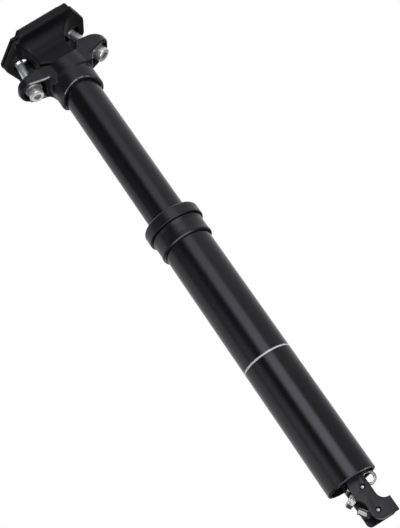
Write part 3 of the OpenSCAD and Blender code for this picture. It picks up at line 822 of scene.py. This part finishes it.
def makeFloor():
    s = floorSettings
    pickOnly(None)
    bpy.ops.mesh.primitive_plane_add(size=s["size"], location=(0, 0, s["height"] * mm))
    floor = bpy.context.object
    floor.name = "floor"
    look = Look("paleFloor", Roughness=1.0, Specular_IOR_Level=0.0)
    drift = look.noise(s["blotch"])
    look.shade("Base Color", look.blend(drift, grey(s["tone"] * s["dull"]), grey(s["tone"])))
    # seen from underneath, the floor is clear, because the photograph looks up at the post
    clear = look.add("ShaderNodeBsdfTransparent")
    under = look.add("ShaderNodeNewGeometry", {}, {}, "Backfacing")
    mixed = look.add("ShaderNodeMixShader", {}, {0: under, 1: Wire(look, look.shader.outputs[0]), 2: clear})
    look.feed(look.tree.nodes["Material Output"].inputs["Surface"], mixed)
    floor.data.materials.append(look.material)


def makeWorld():
    # white to the camera and in reflections, and softer as light
    s = worldSettings
    world = bpy.data.worlds.new("studio")
    scene.world = world
    world.use_nodes = True
    world.node_tree.nodes.clear()
    nodes = Nodes(world.node_tree)
    shown = 0.0
    for ray in s["shownTo"]:
        seen = nodes.add("ShaderNodeLightPath", {}, {}, ray)
        shown = seen.maths("MAXIMUM", shown, seen)
    soft = nodes.add("ShaderNodeBackground", {}, {"Color": grey(1.0), "Strength": s["light"]})
    white = nodes.add("ShaderNodeBackground", {}, {"Color": grey(1.0), "Strength": s["shown"]})
    mixed = nodes.add("ShaderNodeMixShader", {}, {0: shown, 1: soft, 2: white})
    nodes.add("ShaderNodeOutputWorld", {}, {"Surface": mixed})


def makeLights():
    for name, s in boxLights.items():
        lamp = bpy.data.lights.new(name, "AREA")
        lamp.shape = "RECTANGLE"
        lamp.size, lamp.size_y = s["size"]
        lamp.energy = s["power"]
        obj = bpy.data.objects.new(name, lamp)
        scene.collection.objects.link(obj)
        place = swungTo(s["swing"]) * s["away"] + Vector((0, 0, s["height"]))
        aim = (lampTarget - place).to_track_quat("-Z", "Y").to_matrix().to_4x4()
        obj.matrix_world = Matrix.Translation(place) @ aim
        obj.visible_glossy = False


def onlyReflected(obj, name, glow, strength):
    # a glowing backdrop that shows in reflections alone
    look = Look(name, Base_Color=grey(0.0), Roughness=1.0, Specular_IOR_Level=0.0, Emission_Strength=strength)
    look.shade("Emission Color", glow(look))
    obj.name = name
    obj.data.materials.append(look.material)
    obj.visible_camera = False
    obj.visible_diffuse = False
    obj.visible_shadow = False
    obj.visible_transmission = False


def wallGlow(look):
    s = wallSettings
    x, y, z = look.part("X"), look.part("Y"), look.part("Z")
    ahead = x * towardsCamera.x + y * towardsCamera.y
    aside = x * towardsRight.x + y * towardsRight.y
    swing = ahead.maths("ARCTAN2", aside, ahead) / (2 * math.pi) + 0.5

    def band(name):
        return look.steps(swing, [(place / 360 + 0.5, tone / s["full"]) for place, tone in s[name]])

    glow = band("floorBand")
    for name, (below, above) in s["fades"].items():
        glow = look.blend(look.ramp((z - below) / (above - below), 0, 1), glow, band(name))
    return glow


def makeWall():
    # round studio wall
    s = wallSettings
    pickOnly(None)
    bpy.ops.mesh.primitive_circle_add(vertices=s["around"], radius=s["radius"], location=(0, 0, s["low"]))
    wall = bpy.context.object
    bpy.ops.object.transform_apply(location=True, rotation=True, scale=True)
    editing(wall)
    bpy.ops.mesh.extrude_region_move(TRANSFORM_OT_translate={"value": (0, 0, s["high"] - s["low"])})
    bpy.ops.object.mode_set(mode="OBJECT")
    onlyReflected(wall, "studioWall", wallGlow, s["full"])


def makeGround():
    # cards flat on the floor: dark behind the post, bright before it
    for name, s in groundCards.items():
        pickOnly(None)
        bpy.ops.mesh.primitive_circle_add(vertices=cardAround, radius=s["outer"], fill_type="NGON",
                                          location=(0, 0, s["height"] * mm))
        ground = bpy.context.object
        bpy.ops.object.transform_apply(location=True, rotation=True, scale=True)
        editing(ground)
        bpy.ops.mesh.inset(thickness=s["outer"] - s["inner"])
        bpy.ops.mesh.delete(type="FACE")
        middle = swungTo((s["from"] + s["to"]) / 2)
        reach = math.cos(math.radians((s["to"] - s["from"]) / 2))
        pickFaces(ground, lambda centre: Vector((centre.x, centre.y, 0)).normalized().dot(middle) < reach)
        bpy.ops.mesh.delete(type="FACE")
        bpy.ops.object.mode_set(mode="OBJECT")
        onlyReflected(ground, name, lambda look: grey(1.0), s["glow"])


makeCamera()
makeFloor()
makeWorld()
makeLights()
makeWall()
makeGround()
print("camera, floor and lights made")

print("done")
